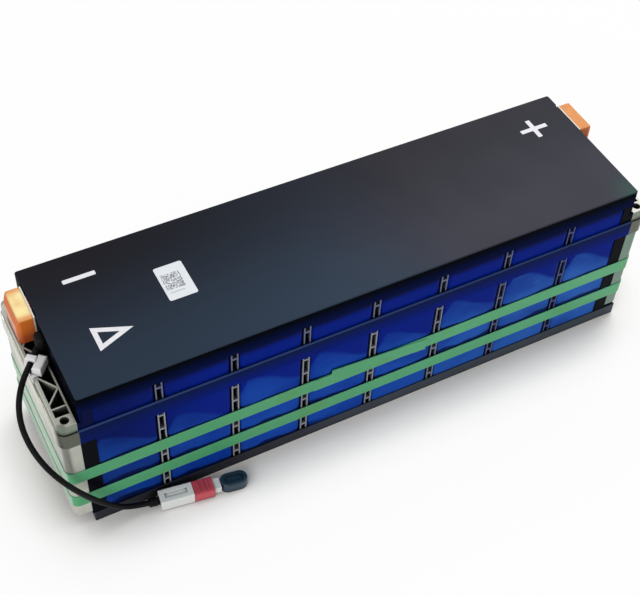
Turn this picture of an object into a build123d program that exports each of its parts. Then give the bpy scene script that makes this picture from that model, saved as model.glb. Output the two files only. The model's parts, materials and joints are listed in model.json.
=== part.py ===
from build123d import *
import os
from math import atan2, degrees, radians, tan

# Eight-cell traction battery module. All sizes in millimetres.
# X runs along the stack of cells, with the minus terminal at -X and the plus terminal at +X.
# Y runs across the module and Z up. The origin is the middle of the footprint, on the floor.

# ---- Driving dimensions ----------------------------------------------------------------
# Cells
CELL_COUNT = 8
CELL_THICK = 72.0
CELL_WIDTH = 173.0
CELL_HEIGHT = 199.0
CELL_CORNER = 5.0
CELL_GAP = 8.0
POLE_Y = 46.0
POLE_LENGTH = 26.0
POLE_WIDTH = 18.0
POLE_HEIGHT = 2.5
VENT_RADIUS = 9.0
VENT_HEIGHT = 0.6

# Twin-wall spacers between the cells
SPACER_WALL = 1.5
SPACER_RUNG = 2.2
SPACER_RUNG_PITCH = 22.5
SPACER_FIRST_RUNG = 23.0
SPACER_RUNGS = 8
SPACER_TOP = 196.0

# Bottom tray
TRAY_FLOOR = 2.0
TRAY_LIP = 15.0
TRAY_WALL = 1.3
TRAY_LEFT = -322.0
TRAY_RIGHT = 339.0
TRAY_LATCHES = 8

# Top cover
COVER_LENGTH = 642.0
COVER_WIDTH = 176.0
COVER_TOP = 210.5
COVER_ROOF = 2.0
COVER_SIDE_WALL = 1.3
COVER_END_WALL = 1.5
COVER_SIDE_BOTTOM = 190.0
COVER_END_BOTTOM = 174.5
COVER_CORNER = 3.0
COVER_EDGE = 1.5
NOTCH_DEPTH = 1.2
NOTCH_Y = (24.0, 70.5)

# End insulators
INSULATOR_THICK = 7.5
INSULATOR_TOP = 174.0
INSULATOR_NECK = 2.0
INSULATOR_FOOT = 4.2
INSULATOR_NECK_TOP = 200.0
LIP_REACH = 8.0
LIP_TOP = 189.5

# End plates: aluminium profile, cut to height
PLATE_THICK = 18.5
PLATE_BOTTOM = 20.0
PLATE_TOP = 176.0
PLATE_HALF_WIDTH = 87.5
PLATE_CORNER = 8.0
PLATE_INNER_WALL = 1.8
PLATE_OUTER_WALL = 2.6
PLATE_WEB = 1.8
WEB_RUN_ON = 6.0
BOSS_LENGTH = 13.5
BOLT_HOLE_RADIUS = 4.5
BOLT_HOLE_Y = 80.0
CROSS_WEB_Y = 63.5
INNER_NODES_Y = (-41.0, 0.0, 41.0)
OUTER_NODES_Y = (-57.0, -21.0, 21.0, 57.0)

# Steel band and the two plastic straps round the stack
BAND_THICK = 2.0
BAND_Z = (143.0, 163.0)
STRAP_THICK = 1.0
UPPER_STRAP_Z = (79.5, 96.5)
LOWER_STRAP_Z = (38.5, 55.0)
OVERLAP_THICK = 0.8
OVERLAP_X = (-70.0, 46.0)

# Busbars and their carrier
BUSBAR_THICK = 2.0
BUSBAR_WIDTH = 24.0
BUSBAR_OVERHANG = 14.0
HUMP_RADIUS = 9.0
HUMP_RISE = 2.2
CARRIER_THICK = 1.5
CARRIER_WIDTH = 150.0
CARRIER_LENGTH = 628.0
CARRIER_RIM = 1.2
CARRIER_RIM_TOP = 207.5
CIRCUIT_THICK = 0.4
CIRCUIT_WIDTH = 16.0
CIRCUIT_TAB = 6.0

# Output terminals, one at each end
OUTPUT_BAR_WIDTH = 20.0
OUTPUT_BAR_THICK = 3.0
OUTPUT_BAR_LOW = 195.0
BASE_Y = (26.0, 66.5)
BASE_PLATE = 1.6
BASE_PLATE_TOP = 209.0
CAP_Y = (24.3, 68.2)
CAP_TOP = 208.5
CAP_WALL = 1.5
CAP_LENGTH = 18.0
CAP_CORNER = 6.0
CAP_CHAMFER_OUT = 4.0
CAP_CHAMFER_DOWN = 9.0
SCREW_RADIUS = 3.0
SCREW_LENGTH = 16.0
SCREW_X = 333.6
SCREW_HEAD_RADIUS = 4.2
SCREW_FLANGE_RADIUS = 5.2
SCREW_HEAD_HEIGHT = 5.0
SCREW_CLEARANCE = 0.3

# Sampling harness: hood on the cover, clip on the end plate, cable and connector
HOOD_Y = 9.5
HOOD_WIDTH = 15.0
HOOD_REACH = 8.0
HOOD_TOP = 199.0
SPOUT_RADIUS = 4.0
CABLE_DIAMETER = 6.0
CABLE_HEADING = (-0.65, -0.76)
CLIP_CENTRE = (-337.5, -3.7)
CLIP_LENGTH = 7.0
CLIP_WIDTH = 11.0
CLIP_TOP = 187.5
LATCH_SIDE = (4.4, 14.0)
LATCH_ALONG = (-7.0, 12.0)
LATCH_TOP = 186.0
HOOK_BOTTOM = 168.0
HOOK_TOP = 177.6
HOOK_Y = (-20.0, 4.0)
HOOK_THICK = 2.0

CABLE_ROUTE = [
    (-339.8, -6.4, 182.0),
    (-348.5, -16.6, 182.0),
    (-358.0, -28.2, 177.0),
    (-365.5, -40.0, 167.0),
    (-369.0, -54.0, 152.5),
    (-367.0, -71.0, 138.0),
    (-360.0, -88.0, 124.0),
    (-348.5, -98.5, 105.0),
    (-334.5, -101.5, 80.0),
    (-318.5, -101.0, 53.5),
    (-300.5, -99.8, 29.0),
    (-283.0, -98.8, 15.5),
    (-267.0, -98.4, 10.5),
]
ARC_SHARE = 0.45

CONNECTOR_START = (-255.0, -99.0)
CONNECTOR_TURN = -8.0
HOUSING_LENGTH = 36.0
HOUSING_WIDTH = 18.0
HOUSING_HEIGHT = 14.5
CORE_LENGTH = 30.0
CORE_WIDTH = 13.0
CORE_HEIGHT = 9.0
LOCK_LENGTH = 22.0
LOCK_WIDTH = 19.0
LOCK_HEIGHT = 13.5
END_CAP_LENGTH = 30.0
END_CAP_WIDTH = 17.0
END_CAP_HEIGHT = 13.0
END_CAP_EDGE = 2.0
END_CAP_RIM = 4.0
END_CAP_DISH = 2.5
BOOT_RADIUS = 5.0
BOOT_LENGTH = 16.0

# ---- Values worked out from them ---------------------------------------------------------
PITCH = CELL_THICK + CELL_GAP
STACK_HALF = (CELL_COUNT * PITCH - CELL_GAP) / 2
CELL_TOP = TRAY_FLOOR + CELL_HEIGHT
POLE_TOP = CELL_TOP + POLE_HEIGHT
CELL_FACE_Y = CELL_WIDTH / 2
COVER_HALF_LENGTH = COVER_LENGTH / 2
COVER_HALF_WIDTH = COVER_WIDTH / 2
CEILING = COVER_TOP - COVER_ROOF
PLATE_INNER_X = STACK_HALF + INSULATOR_THICK
PLATE_OUTER_X = PLATE_INNER_X + PLATE_THICK
BOLT_HOLE_X = PLATE_INNER_X + PLATE_THICK / 2
CABLE_Z = CABLE_ROUTE[0][2]


# ---- Helpers ---------------------------------------------------------------------------
def block(x, y, z):
    """A box between two X, two Y and two Z values."""
    low = (min(x), min(y), min(z))
    size = (abs(x[1] - x[0]), abs(y[1] - y[0]), abs(z[1] - z[0]))
    return Pos(*low) * Box(*size, align=(Align.MIN, Align.MIN, Align.MIN))


def upright(sketch, z):
    """A sketch in plan, extruded between two heights."""
    return Pos(0, 0, z[0]) * extrude(sketch, z[1] - z[0])


def across(points, y):
    """An X-Z outline, extruded between two Y values."""
    face = Plane.XZ * make_face(Polyline(*points, close=True))
    return Pos(0, y[1], 0) * extrude(face, y[1] - y[0])


def at_right_end(shape):
    """The same piece on the opposite end of the module."""
    return mirror(shape, Plane.YZ)


def turn_of(dx, dy):
    """The angle of a direction in plan, from +X."""
    return degrees(atan2(dy, dx))


def cell_centres():
    return [(i - (CELL_COUNT - 1) / 2) * PITCH for i in range(CELL_COUNT)]


def gap_centres():
    return [(i - (CELL_COUNT - 2) / 2) * PITCH for i in range(CELL_COUNT - 1)]


def busbar_side(index):
    """The busbars alternate sides, starting at the front, because every other cell is turned."""
    return -1 if index % 2 == 0 else 1


# ---- Cells, spacers and tray ---------------------------------------------------------------
def make_cell(x):
    outline = RectangleRounded(CELL_THICK, CELL_WIDTH, CELL_CORNER)
    can = upright(outline, (TRAY_FLOOR, CELL_TOP))
    can = chamfer(can.faces().sort_by(Axis.Z)[-1].edges(), 0.8)
    for side in (-1, 1):
        pole = RectangleRounded(POLE_LENGTH, POLE_WIDTH, 2)
        can += Pos(0, side * POLE_Y, 0) * upright(pole, (CELL_TOP, POLE_TOP))
    can += upright(Circle(VENT_RADIUS), (CELL_TOP, CELL_TOP + VENT_HEIGHT))
    return Pos(x, 0, 0) * can


def make_spacer(x):
    """Twin-wall panel: two skins joined by level ribs, open from side to side as air ducts."""
    half = CELL_GAP / 2
    panel = block((-half, half), (-CELL_FACE_Y, CELL_FACE_Y), (TRAY_FLOOR, SPACER_TOP))
    ribs = [SPACER_FIRST_RUNG + k * SPACER_RUNG_PITCH for k in range(SPACER_RUNGS)]
    edges = [TRAY_FLOOR + SPACER_RUNG / 2] + ribs + [SPACER_TOP - SPACER_RUNG / 2]
    bore = half - SPACER_WALL
    for low, high in zip(edges, edges[1:]):
        z = (low + SPACER_RUNG / 2, high - SPACER_RUNG / 2)
        panel -= block((-bore, bore), (-CELL_WIDTH, CELL_WIDTH), z)
    return Pos(x, 0, 0) * panel


def make_bottom_tray():
    x = (TRAY_LEFT, TRAY_RIGHT)
    tray = block(x, (-COVER_HALF_WIDTH, COVER_HALF_WIDTH), (0, TRAY_LIP))
    inner_y = COVER_HALF_WIDTH - TRAY_WALL
    pocket_x = (TRAY_LEFT + TRAY_WALL, TRAY_RIGHT - TRAY_WALL)
    tray -= block(pocket_x, (-inner_y, inner_y), (TRAY_FLOOR, TRAY_LIP))
    vertical = tray.edges().filter_by(Axis.Z)
    outer = [e for e in vertical if abs(e.center().Y) > inner_y + TRAY_WALL / 2]
    return fillet(outer, 1.0)


# ---- Cover ----------------------------------------------------------------------------------
def make_top_cover():
    outline = RectangleRounded(COVER_LENGTH, COVER_WIDTH, COVER_CORNER)
    cover = upright(outline, (COVER_END_BOTTOM, COVER_TOP))
    for side in (-1, 1):
        end = side * COVER_HALF_LENGTH
        notch = block((end - side * NOTCH_DEPTH, end + side), NOTCH_Y, (0, COVER_TOP + 1))
        cover -= notch
    cover = chamfer(cover.faces().sort_by(Axis.Z)[-1].edges(), COVER_EDGE * 0.6)
    inner_x = COVER_HALF_LENGTH - NOTCH_DEPTH - COVER_END_WALL
    inner_y = COVER_HALF_WIDTH - COVER_SIDE_WALL
    inside = block((-inner_x, inner_x), (-inner_y, inner_y), (0, CEILING))
    cover -= inside
    # The long sides stop higher than the ends.
    side_cut = block((-inner_x, inner_x), (-COVER_WIDTH, COVER_WIDTH), (0, COVER_SIDE_BOTTOM))
    cover -= side_cut
    for side in (-1, 1):
        half_slot = OUTPUT_BAR_WIDTH / 2 + 0.5
        slot_y = (POLE_Y - half_slot, POLE_Y + half_slot)
        slot_z = (POLE_TOP - 0.5, POLE_TOP + OUTPUT_BAR_THICK + 0.5)
        cover -= block((side * inner_x, side * (COVER_HALF_LENGTH + 1)), slot_y, slot_z)
    return cover


# ---- End insulators and end plates ------------------------------------------------------------
def make_insulator():
    """Left-hand insulator: a plate with lips round the sides of the last cell."""
    x_out = -PLATE_INNER_X
    x_in = -STACK_HALF
    outer_y = PLATE_HALF_WIDTH
    foot_x = (x_in - INSULATOR_FOOT, x_in)
    plate = block(foot_x, (-CELL_FACE_Y, CELL_FACE_Y), (TRAY_FLOOR, INSULATOR_TOP))
    plate += block((x_out, x_in), (-outer_y, outer_y), (TRAY_LIP + 0.2, INSULATOR_TOP))
    neck_x = (x_in - INSULATOR_NECK, x_in)
    plate += block(neck_x, (-CELL_FACE_Y, CELL_FACE_Y), (INSULATOR_TOP, INSULATOR_NECK_TOP))
    for side in (-1, 1):
        lip_y = (side * CELL_FACE_Y, side * outer_y)
        lip_x = (x_in - INSULATOR_NECK, x_in + LIP_REACH)
        plate += block(lip_x, lip_y, (TRAY_LIP + 0.2, LIP_TOP))
    return plate


def web(start, end):
    """A straight web of the profile between two points in plan, run on into both walls."""
    middle = ((start[0] + end[0]) / 2, (start[1] + end[1]) / 2)
    run = Vector(end[0] - start[0], end[1] - start[1])
    return Pos(*middle) * Rot(0, 0, turn_of(run.X, run.Y)) * Rectangle(run.length + WEB_RUN_ON, PLATE_WEB)


def make_end_plate():
    """Left-hand end plate: a trussed profile, two walls joined by zigzag webs."""
    centre_x = -(PLATE_INNER_X + PLATE_OUTER_X) / 2
    outline = Pos(centre_x, 0) * Rectangle(PLATE_THICK, 2 * PLATE_HALF_WIDTH)
    outer_corners = outline.vertices().group_by(Axis.X)[0]
    section = fillet(outer_corners, PLATE_CORNER)
    wall_in = -PLATE_INNER_X - PLATE_INNER_WALL
    wall_out = -PLATE_OUTER_X + PLATE_OUTER_WALL
    cavity_half = PLATE_HALF_WIDTH - BOSS_LENGTH
    cavity_x = (wall_in + wall_out) / 2
    pockets = Pos(cavity_x, 0) * Rectangle(wall_in - wall_out, 2 * cavity_half)
    nodes = [(wall_out, OUTER_NODES_Y[0])]
    for inner_y, outer_y in zip(INNER_NODES_Y, OUTER_NODES_Y[1:]):
        nodes += [(wall_in, inner_y), (wall_out, outer_y)]
    for start, end in zip(nodes, nodes[1:]):
        pockets -= web(start, end)
    for side in (-1, 1):
        pockets -= web((wall_out, side * CROSS_WEB_Y), (wall_in, side * CROSS_WEB_Y))
    section -= pockets
    for side in (-1, 1):
        section -= Pos(-BOLT_HOLE_X, side * BOLT_HOLE_Y) * Circle(BOLT_HOLE_RADIUS)
    return upright(section, (PLATE_BOTTOM, PLATE_TOP))


# ---- Band and straps ----------------------------------------------------------------------------
def make_hoop(thickness, z):
    """A closed hoop drawn tight round the stack and both end plates."""
    length = 2 * PLATE_OUTER_X
    width = 2 * PLATE_HALF_WIDTH
    grow = 2 * thickness
    outer = RectangleRounded(length + grow, width + grow, PLATE_CORNER + thickness)
    return upright(outer - RectangleRounded(length, width, PLATE_CORNER), z)


def make_strap(z, overlap_side):
    """A plastic strap, with the welded overlap of its two ends on one long side."""
    strap = make_hoop(STRAP_THICK, z)
    face = PLATE_HALF_WIDTH + STRAP_THICK
    y = (overlap_side * face, overlap_side * (face + OVERLAP_THICK))
    return strap + block(OVERLAP_X, y, z)


# ---- Busbars, carrier and sampling circuit ----------------------------------------------------------
def make_busbar(index):
    """A strip between two poles, with a raised hump that lets the cells swell."""
    x = gap_centres()[index]
    reach = PITCH / 2 + BUSBAR_OVERHANG
    low = POLE_TOP
    high = POLE_TOP + BUSBAR_THICK
    foot = HUMP_RADIUS
    crown = foot - 4
    under = [(-reach, low), (-foot, low), (-crown, low + HUMP_RISE), (crown, low + HUMP_RISE), (foot, low)]
    over = [(foot + 1, high), (crown + 1, high + HUMP_RISE), (-crown - 1, high + HUMP_RISE), (-foot - 1, high)]
    outline = under + [(reach, low), (reach, high)] + over + [(-reach, high)]
    y = busbar_side(index) * POLE_Y
    half = BUSBAR_WIDTH / 2
    return Pos(x, 0, 0) * across(outline, (y - half, y + half))


def make_busbar_carrier():
    """Insulating sheet on the cell tops, with a window for each pole and a rim round each busbar."""
    sheet = Rectangle(CARRIER_LENGTH, CARRIER_WIDTH)
    for x in cell_centres():
        for side in (-1, 1):
            sheet -= Pos(x, side * POLE_Y) * Rectangle(POLE_LENGTH + 3, POLE_WIDTH + 3)
        sheet -= Pos(x, 0) * Circle(VENT_RADIUS + 1)
    carrier = upright(sheet, (CELL_TOP, CELL_TOP + CARRIER_THICK))
    inner_length = PITCH + 2 * BUSBAR_OVERHANG + 2
    inner_width = BUSBAR_WIDTH + 2
    for index, x in enumerate(gap_centres()):
        rim = Rectangle(inner_length + 2 * CARRIER_RIM, inner_width + 2 * CARRIER_RIM)
        rim -= Rectangle(inner_length, inner_width)
        place = Pos(x, busbar_side(index) * POLE_Y)
        carrier += place * upright(rim, (CELL_TOP, CARRIER_RIM_TOP))
    return carrier


def make_sampling_circuit():
    """Flat flexible circuit down the middle, with a tab towards each busbar."""
    length = 2 * gap_centres()[-1] + 60
    circuit = Rectangle(length, CIRCUIT_WIDTH)
    tab_end = POLE_Y - BUSBAR_WIDTH / 2 - 1 - CARRIER_RIM
    for index, x in enumerate(gap_centres()):
        tab_y = busbar_side(index) * tab_end / 2
        circuit += Pos(x, tab_y) * Rectangle(CIRCUIT_TAB, tab_end)
    top = CELL_TOP + CARRIER_THICK
    return upright(circuit, (top, top + CIRCUIT_THICK))


# ---- Output terminals ------------------------------------------------------------------------------
def make_output_bar():
    """Left-hand output bar: out over the end insulator, then a step down to its screw."""
    pole_x = cell_centres()[0]
    knee = -PLATE_INNER_X - 1
    tip = -PLATE_OUTER_X + 3.5
    t = OUTPUT_BAR_THICK
    z = POLE_TOP
    low = OUTPUT_BAR_LOW
    outline = [(pole_x + 13, z), (knee, z), (knee, low), (tip, low), (tip, low + t)]
    outline += [(knee - t, low + t), (knee - t, z + t), (pole_x + 13, z + t)]
    half = OUTPUT_BAR_WIDTH / 2
    bar = across(outline, (POLE_Y - half, POLE_Y + half))
    hole = Circle(SCREW_RADIUS + SCREW_CLEARANCE)
    return bar - Pos(-SCREW_X, POLE_Y) * upright(hole, (low - 1, low + t + 1))


def make_terminal_base():
    """Left-hand terminal base: a block on the end plate, with a back plate behind the cap."""
    back_x = (-COVER_HALF_LENGTH - 0.3, -COVER_HALF_LENGTH - 0.3 - BASE_PLATE)
    body_x = (back_x[1], -PLATE_OUTER_X + CAP_WALL + 1.2)
    base = block(body_x, BASE_Y, (PLATE_TOP, OUTPUT_BAR_LOW))
    outer = [e for e in base.edges().filter_by(Axis.Z) if e.center().X < body_x[1] + 1]
    base = fillet(outer, CAP_CORNER - 1)
    base += block(back_x, CAP_Y, (PLATE_TOP, BASE_PLATE_TOP))
    half = OUTPUT_BAR_WIDTH / 2 + 0.3
    slot_z = (POLE_TOP - 0.3, POLE_TOP + OUTPUT_BAR_THICK + 0.3)
    base -= block((back_x[0] + 1, back_x[1] - 1), (POLE_Y - half, POLE_Y + half), slot_z)
    depth = OUTPUT_BAR_LOW - SCREW_LENGTH
    hole = Circle(SCREW_RADIUS)
    return base - Pos(-SCREW_X, POLE_Y) * upright(hole, (depth, OUTPUT_BAR_LOW + 1))


def make_terminal_cap():
    """Left-hand terminal cap: a shell open below and behind, with its outer top edge sloped."""
    back = -COVER_HALF_LENGTH - 0.3 - BASE_PLATE
    front = back - CAP_LENGTH
    middle = ((back + front) / 2, sum(CAP_Y) / 2)
    outline = Pos(*middle) * Rectangle(CAP_LENGTH, CAP_Y[1] - CAP_Y[0])
    outline = fillet(outline.vertices().group_by(Axis.X)[0], CAP_CORNER)
    cap = upright(outline, (PLATE_TOP, CAP_TOP))
    slope = [
        (front - 1, CAP_TOP + 1),
        (front - 1, CAP_TOP - CAP_CHAMFER_DOWN),
        (front, CAP_TOP - CAP_CHAMFER_DOWN),
        (front + CAP_CHAMFER_OUT, CAP_TOP),
        (front + CAP_CHAMFER_OUT, CAP_TOP + 1),
    ]
    cap -= across(slope, (CAP_Y[0] - 1, CAP_Y[1] + 1))
    w = CAP_WALL
    hollow = [
        (back + 1, PLATE_TOP - 1),
        (front + w, PLATE_TOP - 1),
        (front + w, CAP_TOP - CAP_CHAMFER_DOWN),
        (front + w + CAP_CHAMFER_OUT * 0.8, CAP_TOP - w),
        (back + 1, CAP_TOP - w),
    ]
    inside = across(hollow, (CAP_Y[0] + w, CAP_Y[1] - w))
    corners = [e for e in inside.edges().filter_by(Axis.Z) if e.center().X < back]
    inside = fillet(corners, CAP_CORNER - w)
    return cap - inside


def make_terminal_screw():
    """Left-hand screw: hexagon head with a flange, on the output bar."""
    seat = OUTPUT_BAR_LOW + OUTPUT_BAR_THICK
    flange = upright(Circle(SCREW_FLANGE_RADIUS), (seat, seat + 1))
    head = upright(RegularPolygon(SCREW_HEAD_RADIUS, 6), (seat + 1, seat + SCREW_HEAD_HEIGHT))
    shank = upright(Circle(SCREW_RADIUS), (OUTPUT_BAR_LOW - SCREW_LENGTH, seat))
    return Pos(-SCREW_X, POLE_Y, 0) * (flange + head + shank)


# ---- Sampling harness -------------------------------------------------------------------------------
def along_cable(distance, side=0.0):
    """A point in plan, measured from the middle of the clip along and across the cable."""
    hx, hy = CABLE_HEADING
    x = CLIP_CENTRE[0] + hx * distance - hy * side
    y = CLIP_CENTRE[1] + hy * distance + hx * side
    return (x, y)


def make_cable_hood():
    """Rubber hood where the harness leaves the cover, with a spout that reaches the clip."""
    wall = -COVER_HALF_LENGTH
    half = HOOD_WIDTH / 2
    outline = Pos(wall - HOOD_REACH / 2, HOOD_Y) * Rectangle(HOOD_REACH, HOOD_WIDTH)
    outline = fillet(outline.vertices().group_by(Axis.X)[0], half * 0.8)
    hood = upright(outline, (PLATE_TOP, HOOD_TOP))
    crown = hood.faces().sort_by(Axis.Z)[-1].edges()
    hood = fillet([e for e in crown if e.center().X < wall - 0.1], 4)
    start = along_cable(-CLIP_LENGTH / 2)
    back = Vector(-CABLE_HEADING[0], -CABLE_HEADING[1], 0)
    spout_plane = Plane(origin=(*start, CABLE_Z), z_dir=back)
    spout = extrude(spout_plane * Circle(SPOUT_RADIUS), 12)
    return hood + spout


def make_cable_clip():
    """Moulded clip: a bridge over the cable, a latch block beside it and a hook over the plate wall."""
    turn = turn_of(*CABLE_HEADING)
    bridge = Rectangle(CLIP_LENGTH, CLIP_WIDTH)
    bridge = upright(Pos(*CLIP_CENTRE) * Rot(0, 0, turn) * bridge, (PLATE_TOP, CLIP_TOP))
    bridge = fillet(bridge.faces().sort_by(Axis.Z)[-1].edges(), 1.5)
    latch_middle = along_cable(sum(LATCH_ALONG) / 2, sum(LATCH_SIDE) / 2)
    latch = Rectangle(LATCH_ALONG[1] - LATCH_ALONG[0], LATCH_SIDE[1] - LATCH_SIDE[0])
    latch = upright(Pos(*latch_middle) * Rot(0, 0, turn) * latch, (PLATE_TOP, LATCH_TOP))
    latch = fillet(latch.faces().sort_by(Axis.Z)[-1].edges(), 2)
    hook_x = (-PLATE_OUTER_X - HOOK_THICK, -PLATE_OUTER_X)
    hook = block(hook_x, HOOK_Y, (HOOK_BOTTOM, HOOK_TOP))
    pad = block((hook_x[0], -PLATE_OUTER_X + 6), HOOK_Y, (PLATE_TOP, HOOK_TOP))
    return bridge + latch + hook + pad


def arc_radii(route):
    """The radius of each corner's arc, as large as its two runs allow."""
    radii = []
    for before, corner, after in zip(route, route[1:], route[2:]):
        run_in = Vector(*corner) - Vector(*before)
        run_out = Vector(*after) - Vector(*corner)
        shorter = min(run_in.length, run_out.length)
        half_turn = radians(run_in.get_angle(run_out) / 2)
        radii.append(ARC_SHARE * shorter / tan(half_turn))
    return radii


def make_cable():
    radii = arc_radii(CABLE_ROUTE)
    path = FilletPolyline(*CABLE_ROUTE, radius=radii)
    print("cable length", round(path.length, 1), "radii", [round(r, 1) for r in radii])
    start = Plane(origin=path @ 0, z_dir=path % 0)
    return sweep(start * Circle(CABLE_DIAMETER / 2), path)


def connector_frame():
    """The connector's own frame: X along it from its back face, on the floor."""
    return Pos(*CONNECTOR_START, 0) * Rot(0, 0, CONNECTOR_TURN)


def make_connector_housing():
    """White housing: a body with rounded long edges, and a slimmer core that carries the lock."""
    half = HOUSING_WIDTH / 2
    body = block((0, HOUSING_LENGTH), (-half, half), (0, HOUSING_HEIGHT))
    body = fillet(body.edges().filter_by(Axis.X), 2)
    body -= block((6, HOUSING_LENGTH - 6), (-3, 3), (HOUSING_HEIGHT - 2, HOUSING_HEIGHT))
    core_low = (LOCK_HEIGHT - CORE_HEIGHT) / 2
    core_x = (HOUSING_LENGTH, HOUSING_LENGTH + CORE_LENGTH)
    core_z = (core_low, core_low + CORE_HEIGHT)
    body += block(core_x, (-CORE_WIDTH / 2, CORE_WIDTH / 2), core_z)
    return connector_frame() * body


def make_connector_lock():
    """Red lock: a collar round the core, with a raised finger grip."""
    x = (HOUSING_LENGTH, HOUSING_LENGTH + LOCK_LENGTH)
    collar = block(x, (-LOCK_WIDTH / 2, LOCK_WIDTH / 2), (0, LOCK_HEIGHT))
    collar = fillet(collar.edges().filter_by(Axis.X), 2)
    core_low = (LOCK_HEIGHT - CORE_HEIGHT) / 2
    core_z = (core_low, core_low + CORE_HEIGHT)
    collar -= block((x[0] - 1, x[1] + 1), (-CORE_WIDTH / 2, CORE_WIDTH / 2), core_z)
    for step in range(3):
        grip_x = x[0] + 5 + 5 * step
        collar += block((grip_x, grip_x + 2), (-6, 6), (LOCK_HEIGHT, LOCK_HEIGHT + 1))
    return connector_frame() * collar


def make_connector_cap():
    """Dust cap on the mating end: an oval plug with a dished top."""
    start = HOUSING_LENGTH + CORE_LENGTH
    middle = start + END_CAP_LENGTH / 2
    cap = upright(Pos(middle, 0) * SlotOverall(END_CAP_LENGTH, END_CAP_WIDTH), (0, END_CAP_HEIGHT))
    cap = fillet(cap.faces().sort_by(Axis.Z)[-1].edges(), END_CAP_EDGE)
    dish = Pos(middle, 0) * SlotOverall(END_CAP_LENGTH - 2 * END_CAP_RIM, END_CAP_WIDTH - 2 * END_CAP_RIM)
    cap -= upright(dish, (END_CAP_HEIGHT - END_CAP_DISH, END_CAP_HEIGHT + 1))
    return connector_frame() * cap


def make_connector_boot():
    """Strain relief: a short cone on the cable, ending flush on the housing's back face."""
    end = Vector(*CABLE_ROUTE[-1])
    heading = (end - Vector(*CABLE_ROUTE[-2])).normalized()
    cone = Cone(CABLE_DIAMETER / 2 + 0.6, BOOT_RADIUS, BOOT_LENGTH, align=(Align.CENTER, Align.CENTER, Align.MIN))
    boot = Plane(origin=end, z_dir=heading).location * cone
    for step in range(3):
        ring_at = end + heading * (2.5 + 3 * step)
        ring = Cylinder(BOOT_RADIUS, 1.4)
        boot += Plane(origin=ring_at, z_dir=heading).location * ring
    housing_side = connector_frame() * block((0, 60), (-30, 30), (-20, 40))
    return boot - housing_side


# ---- The module -----------------------------------------------------------------------------------------
def make_all():
    nodes = {
        "top_cover": make_top_cover(),
        "bottom_tray": make_bottom_tray(),
        "steel_band": make_hoop(BAND_THICK, BAND_Z),
        "upper_strap": make_strap(UPPER_STRAP_Z, -1),
        "lower_strap": make_strap(LOWER_STRAP_Z, 1),
        "busbar_carrier": make_busbar_carrier(),
        "sampling_circuit": make_sampling_circuit(),
        "cable_hood": make_cable_hood(),
        "cable_clip": make_cable_clip(),
        "harness_cable": make_cable(),
        "connector_boot": make_connector_boot(),
        "connector_housing": make_connector_housing(),
        "connector_lock": make_connector_lock(),
        "connector_cap": make_connector_cap(),
    }
    for number, x in enumerate(cell_centres(), start=1):
        nodes[f"cell_{number}"] = make_cell(x)
    for number, x in enumerate(gap_centres(), start=1):
        nodes[f"spacer_{number}"] = make_spacer(x)
        nodes[f"busbar_{number}"] = make_busbar(number - 1)
    paired = {
        "end_plate": make_end_plate(),
        "end_insulator": make_insulator(),
    }
    for name, shape in paired.items():
        nodes[f"left_{name}"] = shape
        nodes[f"right_{name}"] = at_right_end(shape)
    output = {
        "output_bar": make_output_bar(),
        "terminal_base": make_terminal_base(),
        "terminal_cap": make_terminal_cap(),
        "terminal_screw": make_terminal_screw(),
    }
    for name, shape in output.items():
        nodes[f"minus_{name}"] = shape
        nodes[f"plus_{name}"] = at_right_end(shape)
    return nodes


os.makedirs("parts", exist_ok=True)
for node, shape in make_all().items():
    export_step(shape, f"parts/{node}.step")
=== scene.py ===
import json
import math

import bmesh
import bpy
from mathutils import Matrix, Vector, noise


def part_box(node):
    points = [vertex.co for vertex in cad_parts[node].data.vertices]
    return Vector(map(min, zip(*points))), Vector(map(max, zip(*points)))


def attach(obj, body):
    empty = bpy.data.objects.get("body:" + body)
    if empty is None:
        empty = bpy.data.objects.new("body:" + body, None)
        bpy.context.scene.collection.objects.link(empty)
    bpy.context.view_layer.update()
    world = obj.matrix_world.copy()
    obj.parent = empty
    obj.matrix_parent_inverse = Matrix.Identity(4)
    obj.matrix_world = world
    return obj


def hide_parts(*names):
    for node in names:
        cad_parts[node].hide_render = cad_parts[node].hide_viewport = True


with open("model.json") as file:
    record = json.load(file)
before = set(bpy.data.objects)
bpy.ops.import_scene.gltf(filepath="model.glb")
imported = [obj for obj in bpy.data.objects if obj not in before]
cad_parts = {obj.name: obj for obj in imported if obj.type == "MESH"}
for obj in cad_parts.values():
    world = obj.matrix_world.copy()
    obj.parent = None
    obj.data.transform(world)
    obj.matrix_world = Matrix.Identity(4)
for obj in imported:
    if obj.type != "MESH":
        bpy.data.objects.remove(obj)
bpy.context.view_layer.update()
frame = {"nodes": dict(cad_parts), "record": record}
NODES = frame["nodes"]

# Eight-cell battery module: finishes, film, printed marks, the upper strap's free end, the sampling
# cable, floor, light and camera. Metres, in the frame of the CAD model: X along the stack with the
# minus end at -X, Y across it with the front at -Y, and Z up from the floor.


def top_of(node):
    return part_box(node)[1].z


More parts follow.
